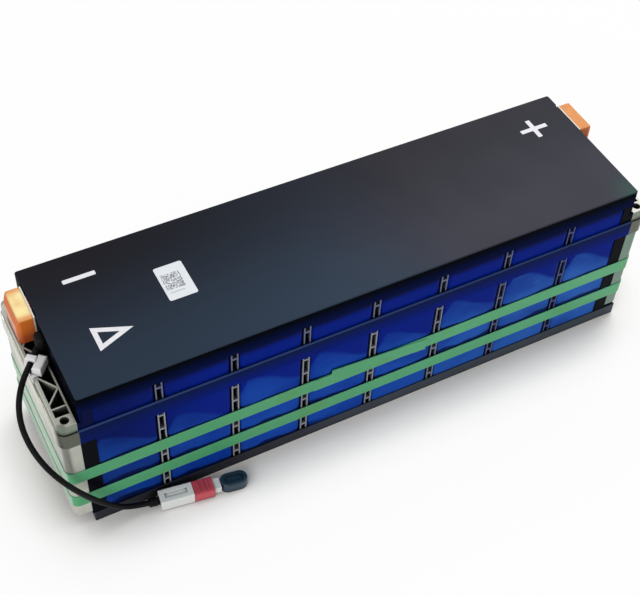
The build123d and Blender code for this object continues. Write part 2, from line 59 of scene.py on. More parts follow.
# ---- Places taken from the frame ---------------------------------------------------------------
COVER_LOW, COVER_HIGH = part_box("top_cover")
COVER_TOP = COVER_HIGH.z
SKIRT_BOTTOM = 0.190            # of the cover's long sides; its ends reach lower
BAND_LOW, BAND_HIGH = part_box("steel_band")
PLATE_LOW, PLATE_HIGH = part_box("right_end_plate")
CAP_LOW, CAP_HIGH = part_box("minus_terminal_cap")
CAP_MIDDLE_Y = (CAP_LOW.y + CAP_HIGH.y) / 2
CELL_LOW, CELL_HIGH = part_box("cell_1")
CELL_HALF = (CELL_HIGH.x - CELL_LOW.x) / 2
CELL_FACE = CELL_HIGH.y
CELL_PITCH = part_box("cell_2")[0].x - CELL_LOW.x
CELLS = sorted(name for name in NODES if name.startswith("cell_"))
TRAY_TOP = top_of("bottom_tray")
UPPER_STRAP_TOP = top_of("upper_strap")
LOWER_STRAP_TOP = top_of("lower_strap")

# ---- Where the photo's reflections fall ----------------------------------------------------------
# The photo's surroundings aren't rebuilt, so the materials paint these casts by place on the object.
# Each pair says where a cast starts and where it is full.
PLUS_END_CAST_X = (-0.02, 0.24)
MINUS_END_CAST_X = (-0.17, -0.30)
LOWER_FILM_CAST_X = (-0.30, -0.10)
FILM_GAP_CAST_X = (0.0, 0.24)
TRAY_SHADE_X = (-0.02, -0.10)
TRAY_CAST_X = (-0.14, 0.02)
STRAP_CAST_X = (0.2, -0.34)
INSULATOR_CAST_X = (0.0, -0.1)
CAP_CAST_X = (0.1, -0.1)
GREEN_CORNER_X = (0.285, COVER_HIGH.x)
GREEN_CORNER_Y = (-0.045, COVER_LOW.y)
PLUS_FLANK_X = (0.31, 0.32)
FRONT_FLANK_Y = (-0.077, -0.083)
INSULATOR_FLANK_OUT = (0.070, 0.076)    # pairs named OUT are distances from the middle on Y
PLATE_FLANK_OUT = (0.0800, 0.0845)
BAND_END_OUT = (0.086, 0.074)
CAP_MIDDLE_OUT = (0.0205, 0.0120)       # from the cap's own middle
LIGHT_LINE_HIGH = 0.136         # height of the painted pale reflection's upper limit near the start of a cell
LIGHT_LINE_DIP = 0.020          # how much lower it is at the very start
LIGHT_LINE_LOW = 0.104          # its height at the cell's far end
LIGHT_LINE_SPREAD = 0.018       # from cell to cell
LIGHT_LINE_DRIFT = 0.030        # along a cell


# ---- Material helpers ----------------------------------------------------------------------------
def paint(red, green, blue):
    """A colour given as 0-255 display values, as the linear colour that shaders use."""
    def linear(value):
        share = value / 255
        return share / 12.92 if share <= 0.04045 else ((share + 0.055) / 1.055) ** 2.4
    return (linear(red), linear(green), linear(blue), 1.0)


def toned(colour, share, lift=0.0):
    """A colour made darker or paler by a share, and lifted by an amount."""
    return tuple(min(1.0, c * share + lift) for c in colour[:3]) + (1.0,)


class Finish:
    """One procedural material: a Principled shader and the nodes that feed it."""

    def __init__(self, name, roughness, metallic=0.0, specular=0.5):
        self.material = bpy.data.materials.new(name)
        self.material.use_nodes = True
        self.tree = self.material.node_tree
        self.shader = self.tree.nodes["Principled BSDF"]
        self.set(self.shader, "Roughness", roughness)
        self.set(self.shader, "Metallic", metallic)
        self.set(self.shader, "Specular IOR Level", specular)
        self.place = self.add("TexCoord").outputs["Object"]

    def add(self, kind, **settings):
        node = self.tree.nodes.new("ShaderNode" + kind)
        for key, value in settings.items():
            setattr(node, key, value)
        return node

    def set(self, node, socket, value):
        """Link a socket to another node's output, or give it a fixed value."""
        target = node.inputs[socket]
        if isinstance(value, bpy.types.NodeSocket):
            self.tree.links.new(value, target)
        else:
            target.default_value = value

    def noise(self, scale, detail, stretch=(1, 1, 1)):
        """Noise of 0 to 1 over object coordinates, which are scaled along each axis first."""
        mapping = self.add("Mapping")
        self.set(mapping, "Vector", self.place)
        self.set(mapping, "Scale", stretch)
        node = self.add("TexNoise")
        self.set(node, "Vector", mapping.outputs["Vector"])
        self.set(node, "Scale", scale)
        self.set(node, "Detail", detail)
        return node.outputs["Fac"]

    def math(self, operation, first, second=0.0, third=0.0):
        node = self.add("Math", operation=operation)
        for socket, value in enumerate((first, second, third)):
            self.set(node, socket, value)
        return node.outputs[0]

    def times(self, first, *others):
        """The product of two or more values."""
        product = first
        for other in others:
            product = self.math("MULTIPLY", product, other)
        return product

    def minus(self, first, second):
        return self.math("SUBTRACT", first, second)

    def times_plus(self, first, second, third):
        """The first value times the second, plus the third."""
        return self.math("MULTIPLY_ADD", first, second, third)

    def axis(self, name):
        """One object coordinate, in metres."""
        node = self.add("SeparateXYZ")
        self.set(node, "Vector", self.place)
        return node.outputs[name]

    def outward(self, name):
        """The distance from the module's middle along one axis, in metres."""
        return self.math("ABSOLUTE", self.axis(name))

    def ramp(self, value, low, high, to_low=0.0, to_high=1.0):
        """A smooth step of a value between two limits."""
        node = self.add("MapRange", interpolation_type="SMOOTHSTEP")
        for socket, number in enumerate((value, low, high, to_low, to_high)):
            self.set(node, socket, number)
        return node.outputs["Result"]

    def along(self, start, end, to_start=0.0, to_end=1.0):
        """A smooth step along the module, between two places on X."""
        return self.ramp(self.axis("X"), start, end, to_start, to_end)

    def mix(self, share, first, second):
        node = self.add("Mix", data_type="RGBA")
        self.set(node, 0, share)
        self.set(node, 6, first)
        self.set(node, 7, second)
        return node.outputs[2]

    def colour(self, value):
        self.set(self.shader, "Base Color", value)

    def rough(self, value, low, high):
        self.set(self.shader, "Roughness", self.ramp(value, 0.25, 0.75, low, high))

    def rounded(self, radius):
        """Normals with the edges rounded to a radius."""
        node = self.add("Bevel", samples=6)
        self.set(node, "Radius", radius)
        return node.outputs["Normal"]

    def edges(self, radius):
        """The share of an edge in a rounded normal: 0 on flats, up to 1 on a sharp corner."""
        dot = self.add("VectorMath", operation="DOT_PRODUCT")
        self.set(dot, 0, self.rounded(radius))
        self.set(dot, 1, self.add("NewGeometry").outputs["Normal"])
        return self.ramp(dot.outputs["Value"], 0.995, 0.85)

    def shade_recesses(self, colour, reach, dark, clear=0.85):
        """A colour darkened by painted shade, from ambient occlusion, in grooves, ducts and corners that are
        narrower than a reach.
        """
        occlusion = self.add("AmbientOcclusion", samples=8)
        self.set(occlusion, "Distance", reach)
        return self.mix(self.ramp(occlusion.outputs["AO"], 0.2, clear), dark, colour)

    def relief(self, height, depth, edge):
        """Bump of a given depth in metres, over edges softened to a radius, or left sharp at 0."""
        bump = self.add("Bump")
        self.set(bump, "Height", height)
        self.set(bump, "Distance", depth)
        self.set(bump, "Strength", 1.0)
        if edge:
            self.set(bump, "Normal", self.rounded(edge))
        self.set(self.shader, "Normal", bump.outputs["Normal"])


# ---- Plastics ------------------------------------------------------------------------------------
def moulded(name, colour, roughness, specular=0.4, wear=0.5, reach=0.01):
    """Moulded plastic: fine grain, slow drift in tone, paler worn edges, and painted shade in its recesses.
    """
    finish = Finish(name, roughness, specular=specular)
    body = finish.mix(finish.noise(9, 4), toned(colour, 0.88), toned(colour, 1.12, 0.002))
    scuffed = finish.times(finish.edges(0.0008), finish.noise(160, 3), wear)
    worn = finish.mix(scuffed, body, toned(colour, 1.8, 0.02))
    # Painted shade darkens the recesses.
    finish.colour(finish.shade_recesses(worn, reach, toned(colour, 0.03)))
    finish.rough(finish.noise(45, 4), roughness * 0.85, roughness * 1.15)
    finish.relief(finish.noise(1900, 2), 0.00003, 0.0008)
    return finish.material


def cover_sheet(finish):
    """The cover's top: a painted reflection, darkest at the back left, with a blue cast that turns brown to
    the right.
    """
    along = finish.along(COVER_LOW.x, COVER_HIGH.x)
    y = finish.axis("Y")
    across = finish.ramp(y, COVER_HIGH.y, COVER_LOW.y)
    drift = finish.times_plus(finish.noise(4.5, 2), 0.5, finish.minus(along, 0.25))
    cast = finish.mix(finish.ramp(drift, 0.30, 0.80), paint(46, 64, 84), paint(54, 54, 66))
    share = finish.times_plus(across, 0.62, finish.times(along, 0.5))
    sheet = finish.mix(share, paint(21, 19, 26), cast)
    # Painted green reflection in the front right corner.
    corner = finish.times(finish.along(*GREEN_CORNER_X), finish.ramp(y, *GREEN_CORNER_Y), 0.8)
    return finish.mix(corner, sheet, paint(44, 82, 72))


def cover_skirt(finish, height):
    """The cover's skirt: almost black, with a painted navy reflection low on the long sides, beside the
    film.
    """
    long_side = finish.ramp(finish.outward("Y"), COVER_HIGH.y - 0.003, COVER_HIGH.y - 0.001)
    navy = finish.times(long_side, finish.ramp(height, COVER_TOP - 0.003, SKIRT_BOTTOM))
    return finish.mix(navy, paint(2, 5, 12), paint(4, 16, 60))


def cover_plastic():
    """Black cover: satin on top, matte on its skirt, with a painted highlight on the rim between them."""
    finish = Finish("cover_black", 0.42, specular=0.07)
    height = finish.axis("Z")
    on_top = finish.ramp(height, COVER_TOP - 0.0016, COVER_TOP - 0.0004)
    body = finish.mix(on_top, cover_skirt(finish, height), cover_sheet(finish))
    # Painted highlight along the rim.
    rim = finish.times(finish.edges(0.0010), on_top, 0.8)
    finish.colour(finish.mix(rim, body, paint(80, 90, 102)))
    finish.set(finish.shader, "Specular IOR Level", finish.times_plus(on_top, 0.064, 0.006))
    finish.rough(finish.noise(14, 3), 0.40, 0.46)
    finish.relief(finish.noise(1400, 2), 0.00002, 0.0012)
    return finish.material


def spacer_plastic():
    """Light grey spacers, with a painted blue reflection towards the plus end and up by the band, and
    painted shade in their ducts.
    """
    finish = Finish("spacer_grey", 0.45, specular=0.15)
    rail = finish.mix(finish.noise(40, 4), paint(128, 133, 142), paint(164, 168, 174))
    # Painted blue reflection, stronger towards the plus end and up by the band.
    plus_end_reflection = finish.along(*PLUS_END_CAST_X, 0.0, 0.78)
    high = finish.ramp(finish.axis("Z"), BAND_LOW.z - 0.004, BAND_HIGH.z, 0.0, 0.5)
    rail = finish.mix(finish.math("MAXIMUM", plus_end_reflection, high), rail, paint(14, 40, 120))
    finish.colour(finish.shade_recesses(rail, 0.01, finish.mix(plus_end_reflection, paint(3, 5, 14), paint(3, 10, 46))))
    finish.rough(finish.noise(45, 4), 0.38, 0.52)
    finish.relief(finish.noise(1900, 2), 0.00003, 0.0006)
    return finish.material


def insulator_plastic():
    """Black end insulators, with a painted blue reflection on the minus end's flank above the band, and
    painted shade in recesses.
    """
    finish = Finish("insulator_black", 0.3, specular=0.015)
    body = finish.mix(finish.noise(9, 4), paint(4, 6, 12), paint(7, 9, 17))
    # Painted blue reflection on the minus end's flank.
    flank = finish.ramp(finish.outward("Y"), *INSULATOR_FLANK_OUT)
    above_band = finish.ramp(finish.axis("Z"), BAND_LOW.z, BAND_HIGH.z)
    blue = finish.times(flank, finish.along(*INSULATOR_CAST_X), above_band)
    body = finish.mix(blue, body, paint(4, 14, 58))
    finish.colour(finish.shade_recesses(body, 0.01, paint(1, 1, 2)))
    finish.rough(finish.noise(45, 4), 0.25, 0.35)
    finish.relief(finish.noise(1900, 2), 0.00003, 0.0008)
    return finish.material


def tray_plastic():
    """Black bottom tray, with a painted paler reflection towards the plus end, scuffed edges, and painted
    shade in recesses.
    """
    finish = Finish("tray_black", 0.4, specular=0.12)
    # Painted paler reflection towards the plus end.
    body = finish.mix(finish.along(*TRAY_CAST_X), paint(34, 34, 44), paint(62, 70, 82))
    body = finish.mix(finish.times(finish.noise(22, 4), 0.5), body, paint(46, 50, 60))
    scuffed = finish.times(finish.edges(0.0008), finish.noise(160, 3), 0.5)
    body = finish.mix(scuffed, body, paint(96, 104, 116))
    finish.colour(finish.shade_recesses(body, 0.01, paint(4, 5, 8)))
    finish.rough(finish.noise(45, 4), 0.34, 0.46)
    finish.relief(finish.noise(1900, 2), 0.00003, 0.0008)
    return finish.material


def cap_roof(finish):
    """The caps' roof: orange, with a painted highlight in the middle of the minus cap's."""
    off_middle = finish.math("ABSOLUTE", finish.minus(finish.axis("Y"), CAP_MIDDLE_Y))
    middle = finish.ramp(off_middle, *CAP_MIDDLE_OUT, 0.1, 1.0)
    cloud = finish.ramp(finish.noise(60, 2), 0.3, 0.6, 0.6, 1.0)
    # Painted highlight: pale in the roof's middle, mostly on the minus cap.
    thin = finish.times(middle, cloud, finish.along(*CAP_CAST_X, 0.05, 1.0))
    return finish.mix(thin, paint(224, 140, 66), paint(252, 230, 160))


def cap_plastic():
    """Orange terminal caps: glossy and slightly translucent, with painted shade down their sides."""
    finish = Finish("cap_orange", 0.2, specular=0.12)
    height = finish.axis("Z")
    top = CAP_HIGH.z
    # Painted shade: the sides darken towards the bottom.
    side = finish.mix(finish.ramp(height, top - 0.030, top - 0.008), paint(158, 60, 30), paint(218, 108, 42))
    flow = finish.noise(30, 3, (1, 2, 1))
    side = finish.mix(finish.times(flow, 0.5), side, paint(226, 136, 62))
    body = finish.mix(finish.ramp(height, top - 0.0022, top - 0.0004), side, cap_roof(finish))
    finish.colour(finish.mix(finish.times(finish.edges(0.0012), 0.4), body, paint(240, 168, 90)))
    finish.set(finish.shader, "Subsurface Weight", 0.08)
    finish.set(finish.shader, "Subsurface Radius", (0.004, 0.002, 0.001))
    finish.set(finish.shader, "Subsurface Scale", 1.0)
    finish.rough(finish.noise(70, 3), 0.16, 0.26)
    finish.relief(finish.noise(38, 1), 0.0004, 0.0010)
    return finish.material


def strap_green():
    """Green polyester straps: embossed with a fine diamond pattern, paler on their edges, with painted shade
    towards the minus end and a painted highlight on the minus end plate's outer face.
    """
    finish = Finish("strap_green", 0.34, specular=0.3)
    run = finish.math("ADD", finish.axis("X"), finish.axis("Y"))
    height = finish.axis("Z")
    rising = finish.math("SINE", finish.times(finish.math("ADD", run, height), 2600))
    falling = finish.math("SINE", finish.times(finish.minus(run, height), 2600))
    body = finish.mix(finish.noise(7, 3), paint(54, 156, 92), paint(86, 184, 126))
    body = finish.mix(finish.ramp(finish.noise(19, 2), 0.62, 0.72, 0.0, 0.6), body, paint(78, 158, 70))
    # Painted shade towards the minus end.
    body = finish.mix(finish.along(*STRAP_CAST_X, 0.0, 0.35), body, paint(36, 122, 66))
    # Painted highlight where the straps cross the minus end plate's outer face.
    lit_end = finish.along(0.0015 - PLATE_HIGH.x, -0.0002 - PLATE_HIGH.x, 0.0, 0.6)
    body = finish.mix(lit_end, body, paint(206, 234, 216))
    fibres = finish.times(finish.noise(240, 3, (1, 1, 12)), 0.35)
    streaked = finish.mix(fibres, body, paint(108, 186, 146))
    finish.colour(finish.mix(finish.edges(0.0009), streaked, paint(132, 204, 172)))
    finish.relief(finish.times(rising, falling), 0.00008, 0.0005)
    return finish.material


def jacket():
    """Cable jacket: matte black sleeve with a fine woven pick."""
    finish = Finish("cable_jacket", 0.5, specular=0.12)
    weave = finish.noise(1500, 2)
    finish.colour(finish.mix(finish.noise(60, 3), paint(7, 7, 8), paint(16, 16, 17)))
    finish.rough(weave, 0.42, 0.6)
    finish.relief(weave, 0.00012, 0)
    return finish.material


# ---- Film on the cells ---------------------------------------------------------------------------
def below_light_line(finish, height):
    """How far a point lies below its cell's slanted line of light, the upper limit of the painted pale
    reflection, in metres.
    """
    pitches = finish.math("DIVIDE", finish.minus(finish.axis("X"), CELL_LOW.x), CELL_PITCH)
    step = finish.math("FRACT", pitches)
    fall = finish.ramp(step, 0.14, 0.98, LIGHT_LINE_HIGH, LIGHT_LINE_LOW)
    rise = finish.ramp(step, 0.0, 0.16, -LIGHT_LINE_DIP, 0.0)
    cell = finish.add("TexWhiteNoise", noise_dimensions="1D")
    finish.set(cell, "W", finish.math("FLOOR", pitches))
    crest = finish.times_plus(cell.outputs["Value"], LIGHT_LINE_SPREAD, finish.math("ADD", fall, rise))
    mean_lift = (LIGHT_LINE_SPREAD + LIGHT_LINE_DRIFT) / 2
    drift = finish.noise(9, 2, (1, 1, 0.6))
    line = finish.times_plus(drift, LIGHT_LINE_DRIFT, finish.minus(crest, mean_lift))
    return finish.minus(line, height)


def upper_film(finish, height):
    """The film above the line of light: deep blue, with painted shade under the cover and towards the minus
    end.
    """
    cover_shade = finish.ramp(height, SKIRT_BOTTOM - 0.013, SKIRT_BOTTOM + 0.001)
    film = finish.mix(cover_shade, paint(3, 31, 134), paint(2, 5, 22))
    return finish.mix(finish.along(*MINUS_END_CAST_X, 0.0, 0.8), film, paint(3, 18, 76))


def lower_film(finish):
    """The film below the line of light: a painted pale reflection, stronger towards the plus end."""
    film = finish.mix(finish.along(*LOWER_FILM_CAST_X), paint(18, 62, 150), paint(24, 76, 178))
    return finish.mix(finish.along(*PLUS_END_CAST_X), film, paint(46, 100, 190))


def shade_above(finish, height, level, depth, waviness):
    """A painted dark wavy line of shade on the film, just above a strap's or the tray's top edge."""
    wave = finish.ramp(finish.noise(17, 3, (1, 1, 0)), 0.35, 0.65, depth, depth + waviness)
    crest = finish.math("ADD", wave, level)
    inside = finish.ramp(finish.minus(crest, height), 0.0, 0.0022)
    return finish.times(inside, finish.ramp(height, level - 0.001, level))


def cell_film():
    """Blue insulating film on the cells, with painted pale reflections, painted dark lines of shade, painted
    glints, and painted shade in the gaps between cells.
    """
    finish = Finish("cell_film", 0.16, specular=0.012)
    height = finish.axis("Z")
    below = below_light_line(finish, height)
    sheen = finish.times(finish.ramp(below, -0.001, 0.006), finish.ramp(below, 0.0, 0.04, 0.62, 1.0))
    patches = finish.ramp(finish.noise(14, 3, (1, 1, 1.5)), 0.32, 0.62, 0.5, 1.0)
    film = finish.mix(finish.times(sheen, patches), upper_film(finish, height), lower_film(finish))
    tray_shade = shade_above(finish, height, TRAY_TOP, 0.003, 0.007)
    for shade in (
        shade_above(finish, height, UPPER_STRAP_TOP, 0.001, 0.004),
        shade_above(finish, height, LOWER_STRAP_TOP, 0.003, 0.006),
        finish.times(tray_shade, finish.along(*TRAY_SHADE_X)),
    ):
        film = finish.mix(finish.times(shade, 0.85), film, paint(2, 8, 52))
    # Painted glints, streaked up the film.
    painted_glints = finish.ramp(finish.noise(52, 4, (1, 1, 2.4)), 0.70, 0.78, 0.0, 0.35)
    film = finish.mix(finish.times(painted_glints, finish.ramp(below, 0.0, 0.01)), film, paint(86, 124, 196))
    # Painted shade in the gaps between cells, navy towards the plus end.
    gap_shade = finish.mix(finish.along(*FILM_GAP_CAST_X), paint(2, 5, 24), paint(3, 12, 58))
    finish.colour(finish.shade_recesses(film, 0.014, gap_shade, 0.95))
    finish.rough(finish.noise(30, 3), 0.12, 0.24)
    finish.relief(finish.noise(22, 4, (1, 1, 0.35)), 0.0009, 0)
    return finish.material


# ---- Metals --------------------------------------------------------------------------------------
def band_steel():
    """Steel band: bare round the ends, with painted light on its end faces and painted shade round the
    corners, and under dark blue insulation along the cells, painted darker towards its top and the minus
    end, with a painted highlight along its upper edge.
    """
    finish = Finish("band_steel", 0.3, specular=0.012)
    height = finish.axis("Z")
    inner = PLATE_LOW.x
    insulated = finish.ramp(finish.outward("X"), inner + 0.0005, inner - 0.0005)
    streaks = finish.noise(60, 5, (1, 1, 30))
    # Painted light on the end faces and painted shade round the corners.
    end_face = finish.ramp(finish.outward("Y"), *BAND_END_OUT)
    lit_steel = finish.mix(streaks, paint(188, 188, 176), paint(222, 222, 210))
    shaded_steel = finish.mix(streaks, paint(78, 81, 72), paint(104, 107, 96))
    steel = finish.mix(end_face, shaded_steel, lit_steel)
    # Painted shade darkens the insulation towards its top and the minus end.
    film = finish.mix(finish.ramp(height, BAND_HIGH.z, BAND_LOW.z), paint(10, 26, 70), paint(4, 26, 118))
    film = finish.mix(finish.along(*MINUS_END_CAST_X, 0.0, 0.6), film, paint(6, 22, 70))
    # Painted highlight along the upper edge.
    upper_edge_highlight = finish.ramp(height, BAND_HIGH.z - 0.0009, BAND_HIGH.z - 0.0003)
    film = finish.mix(upper_edge_highlight, film, paint(62, 84, 138))
    finish.colour(finish.mix(insulated, steel, film))
    finish.set(finish.shader, "Metallic", finish.minus(1.0, insulated))
    finish.rough(streaks, 0.24, 0.38)
    finish.relief(streaks, 0.00003, 0.0005)
    return finish.material


def extruded(name, pale, dark, metallic, roughness, casts=None):
    """Extruded metal: die lines that run up the profile, softened edges, and painted shade in its pockets
    and recesses.
    """
    finish = Finish(name, roughness, metallic)
    lines = finish.noise(700, 3, (1, 1, 0.012))
    cloud = finish.noise(16, 4)
    tone = finish.times_plus(lines, 0.12, finish.times(cloud, 0.88))
    body = finish.mix(finish.ramp(tone, 0.3, 0.7), dark, pale)
    sawn = finish.ramp(finish.axis("Z"), PLATE_HIGH.z - 0.0008, PLATE_HIGH.z - 0.0002)
    body = finish.mix(finish.times(sawn, 0.6), body, dark)
    body = finish.mix(finish.times(finish.edges(0.0007), 0.5), body, paint(238, 240, 232))
    if casts:
        body = casts(finish, body, sawn)
    # Painted shade in pockets and recesses.
    finish.colour(finish.shade_recesses(body, 0.022, toned(dark, 0.09), 0.7))
    finish.rough(cloud, roughness * 0.85, roughness * 1.2)
    finish.relief(lines, 0.00002, 0.0006)
    return finish.material


def plate_casts(finish, body, sawn):
    """Painted shade and reflections on the end plates: grey shade on the corners, a grey shaded collar above
    the band, and a green reflection on the plus end's front flank.
    """
    height = finish.axis("Z")
    outer = PLATE_HIGH.x
    # Painted shade on the rounded corners between the straps.
    outward = finish.ramp(finish.outward("X"), outer - 0.0095, outer - 0.0050)
    sideways = finish.ramp(finish.outward("Y"), *PLATE_FLANK_OUT)
    between_straps = finish.ramp(height, LOWER_STRAP_TOP, UPPER_STRAP_TOP)
    corner = finish.times(outward, sideways, between_straps, 0.75)
    body = finish.mix(corner, body, paint(96, 99, 90))
    # Painted shade on the front collar above the band.
    front = finish.ramp(finish.axis("Y"), *FRONT_FLANK_Y)
    above_band = finish.ramp(height, BAND_HIGH.z - 0.002, BAND_HIGH.z)
    collar = finish.times(front, above_band, finish.minus(0.8, sawn))
    body = finish.mix(collar, body, paint(104, 118, 104))
    # Painted green reflection on the plus end's front flank.
    below_band = finish.ramp(height, BAND_HIGH.z, BAND_LOW.z, 0.0, 0.85)
    flank = finish.times(front, finish.along(*PLUS_FLANK_X), below_band)
    return finish.mix(flank, body, paint(84, 124, 106))


def end_plate_metal():
    """End plates: pale extruded aluminium, with painted shade and reflections."""
    return extruded("plate_aluminium", paint(212, 213, 203), paint(172, 173, 162), 0.3, 0.4, plate_casts)


# ---- Printed marks and the sticker ---------------------------------------------------------------
INK = 0.00008
MARK_BASE = COVER_TOP - INK / 4         # a little sunk, so that nothing flickers
MARK_STROKE = 0.0055
MINUS_CENTRE = (-0.2655, 0.0530)
MINUS_LENGTH = 0.0345
MINUS_CORNER = 0.0012
PLUS_CENTRE = (0.2735, 0.0460)
PLUS_ARMS = (0.0340, 0.0290)
PLUS_CORNER = 0.0004
ARROW_TIP = (-0.2400, -0.0285)
ARROW_BASE_X = -0.2795
ARROW_HALF = 0.0155
ARROW_STROKE = 0.0052
STICKER_THICK = 0.00015
STICKER_X = (-0.1959, -0.1655)
STICKER_Y = (-0.0150, 0.0313)
STICKER_CORNER = 0.0022
STICKER_PATTERN = ((-0.1930, -0.1730), (-0.0015, 0.0200))
STICKER_SQUARE = 0.00085
STICKER_RULE = ((-0.1911, -0.1761), (-0.0060, -0.0050))


def print_white():
    """Screen-printed white ink, a little thin in places."""
    finish = Finish("print_white", 0.55, specular=0.3)
    finish.colour(finish.mix(finish.noise(220, 4), paint(222, 222, 228), paint(246, 246, 250)))
    finish.relief(finish.noise(1200, 2), 0.00002, 0)
    return finish.material


def window(finish, box):
    """1 inside an X-Y box in object coordinates, and 0 outside it."""
    share = 1.0
    for name, (low, high) in zip("XY", box):
        value = finish.axis(name)
        above = finish.math("GREATER_THAN", value, low)
        share = finish.times(share, above, finish.math("LESS_THAN", value, high))
    return share


def sticker_paper():
    """White sticker: a formula's pattern of small grey squares, and one thin line under it."""
    finish = Finish("sticker_white", 0.45, specular=0.35)
    snapped = finish.add("VectorMath", operation="SNAP")
    finish.set(snapped, 0, finish.place)
    finish.set(snapped, 1, (STICKER_SQUARE, STICKER_SQUARE, 1))
    scatter = finish.add("TexWhiteNoise", noise_dimensions="2D")
    finish.set(scatter, "Vector", snapped.outputs["Vector"])
    inked = finish.math("GREATER_THAN", scatter.outputs["Value"], 0.46)
    squares = finish.times(inked, window(finish, STICKER_PATTERN), 0.8)
    rule = finish.times(window(finish, STICKER_RULE), 0.55)
    body = finish.mix(finish.noise(90, 3), paint(222, 228, 233), paint(236, 240, 244))
    finish.colour(finish.mix(finish.math("MAXIMUM", squares, rule), body, paint(96, 100, 106)))
    finish.relief(finish.noise(600, 3), 0.00002, 0)
    return finish.material


def placed(name, data):
    """A new object in the scene."""
    thing = bpy.data.objects.new(name, data)
    bpy.context.scene.collection.objects.link(thing)
    return thing


def add_piece(name, mesh, material):
    """A finished mesh, as a piece that rides on the module."""
    data = bpy.data.meshes.new(name)
    mesh.to_mesh(data)
    mesh.free()
    piece = placed(name, data)
    data.materials.append(material)
    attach(piece, "root")


def add_mark(name, rings, thick, material, corner=0.0):
    """A thin flat piece on the cover: the first ring is its outline, the second, if any, its hole."""
    mesh = bmesh.new()
    loops = [[mesh.verts.new((x, y, MARK_BASE)) for x, y in ring] for ring in rings]
    outline = loops[0]
    if len(loops) == 1:
        mesh.faces.new(outline)
    else:
        hole = loops[1]
        for i in range(len(outline)):
            j = (i + 1) % len(outline)
            mesh.faces.new((outline[i], outline[j], hole[j], hole[i]))
    if corner:
        verts = list(mesh.verts)
        bmesh.ops.bevel(mesh, geom=verts, offset=corner, segments=4, affect="VERTICES", profile=0.5)
    grown = bmesh.ops.extrude_face_region(mesh, geom=list(mesh.faces))
    lifted = [item for item in grown["geom"] if isinstance(item, bmesh.types.BMVert)]
    bmesh.ops.translate(mesh, verts=lifted, vec=(0, 0, thick))
    bmesh.ops.recalc_face_normals(mesh, faces=list(mesh.faces))
    add_piece(name, mesh, material)


def rectangle(x, y):
    return [(x[0], y[0]), (x[1], y[0]), (x[1], y[1]), (x[0], y[1])]


def around(middle, size):
    return (middle - size / 2, middle + size / 2)


def cross_outline():
    """The twelve corners of the plus sign."""
    x, y = PLUS_CENTRE
    a, b, s = PLUS_ARMS[0] / 2, PLUS_ARMS[1] / 2, MARK_STROKE / 2
    half = [(a, -s), (a, s), (s, s), (s, b), (-s, b), (-s, s)]
    return [(x + turn * dx, y + turn * dy) for turn in (1, -1) for dx, dy in half]


def triangle_rings():
    """An outlined triangle that points along the module, as an outer and an inner ring."""
    tip = Vector(ARROW_TIP)
    feet = [Vector((ARROW_BASE_X, tip.y + side * ARROW_HALF)) for side in (1, -1)]
    outer = [tip, *feet]
    sides = [(outer[i] - outer[(i + 1) % 3]).length for i in range(3)]
    area = abs((outer[1] - outer[0]).cross(outer[2] - outer[0])) / 2
    inradius = 2 * area / sum(sides)
    incentre = (outer[0] * sides[1] + outer[1] * sides[2] + outer[2] * sides[0]) / sum(sides)
    shrink = 1 - ARROW_STROKE / inradius
    inner = [incentre + (corner - incentre) * shrink for corner in outer]
    return [[tuple(corner) for corner in ring] for ring in (outer, inner)]


def add_marks(ink, paper):
    """The minus and plus signs, the triangle that stands in for a letter, and the sticker."""
    minus = rectangle(around(MINUS_CENTRE[0], MINUS_LENGTH), around(MINUS_CENTRE[1], MARK_STROKE))
    add_mark("minus_mark", [minus], INK, ink, MINUS_CORNER)
    add_mark("plus_mark", [cross_outline()], INK, ink, PLUS_CORNER)
    add_mark("direction_mark", triangle_rings(), INK, ink)
    add_mark("sticker", [rectangle(STICKER_X, STICKER_Y)], STICKER_THICK, paper, STICKER_CORNER)


# ---- Free end of the upper strap -----------------------------------------------------------------
LAP_CENTRE_X = 0.0085
LAP_CENTRE_Z = 0.0903
LAP_LENGTH = 0.117
LAP_WIDTH = 0.0165
LAP_DEPTH = 0.0016
LAP_PROUD = 0.0004
LAP_TILT = math.radians(4.3)
LAP_EDGE = 0.0002


def add_strap_lap(material):
    """The upper strap's free end, which lies a little askew over its joint on the front."""
    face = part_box("upper_strap")[0].y - LAP_PROUD
    centre = (LAP_CENTRE_X, face + LAP_DEPTH / 2, LAP_CENTRE_Z)
    mesh = bmesh.new()
    bmesh.ops.create_cube(mesh, size=1.0)
    bmesh.ops.scale(mesh, vec=(LAP_LENGTH, LAP_DEPTH, LAP_WIDTH), verts=mesh.verts)
    bmesh.ops.rotate(mesh, matrix=Matrix.Rotation(LAP_TILT, 3, "Y"), verts=mesh.verts)
    bmesh.ops.translate(mesh, vec=centre, verts=mesh.verts)
    bmesh.ops.bevel(mesh, geom=list(mesh.edges), offset=LAP_EDGE, segments=2, affect="EDGES")
    add_piece("upper_strap_end", mesh, material)


# ---- Film on the cells' long faces ---------------------------------------------------------------
FILM_LOW = TRAY_TOP - 0.012             # the film runs down inside the tray's lip
FILM_HIGH = COVER_TOP - 0.0105          # and up under the cover
FILM_CORNER = 0.005
FILM_GAP = 0.00012
FILM_LEAST = 0.00002
FILM_BELLY = 0.00045
FILM_RIPPLE = 0.00016
RIPPLES_ACROSS = 1.6
RIPPLES_UP = 3.2
RIPPLE_CELL = 31                        # moves the ripples on from cell to cell
RIPPLE_SIDE = 5.0                       # and from the front to the back
FILM_COLUMNS = 30
FILM_ARC = 5
FILM_ROWS = 64


